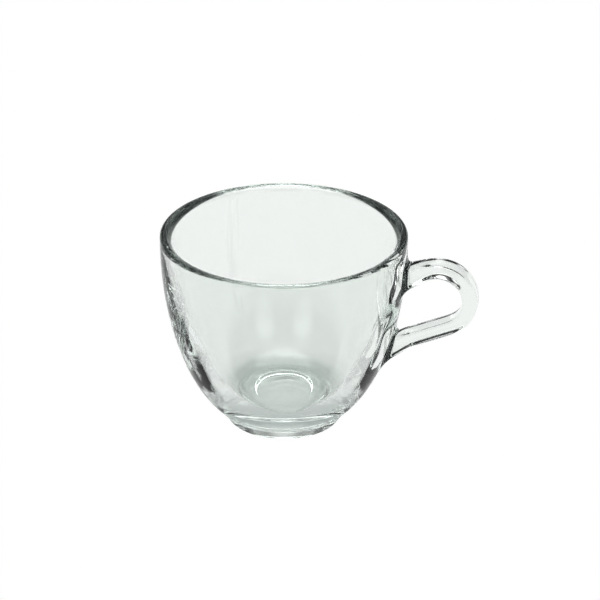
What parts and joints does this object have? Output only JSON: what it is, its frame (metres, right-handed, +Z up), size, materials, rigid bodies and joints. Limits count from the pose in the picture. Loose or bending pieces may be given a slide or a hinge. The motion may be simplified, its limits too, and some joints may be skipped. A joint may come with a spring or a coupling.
{
  "type": "glass espresso cup",
  "caption": "Small clear glass espresso cup: a thick-walled bowl that curves in to a short solid foot, with a flat-sided loop handle fused to its wall.",
  "frame": {"origin": "centre of the foot's resting face, on the bowl's axis", "axes": "+Z up along the bowl's axis, +X from the axis out through the handle, +Y completes a right-handed frame"},
  "size_m": [0.0843, 0.065, 0.0537],
  "materials": {
    "clear_glass": "fire-polished clear glass with a faint grey-green tint"
  },
  "bodies": {
    "root": {"bowl": "clear_glass", "handle": "clear_glass"}
  },
  "joints": []
}
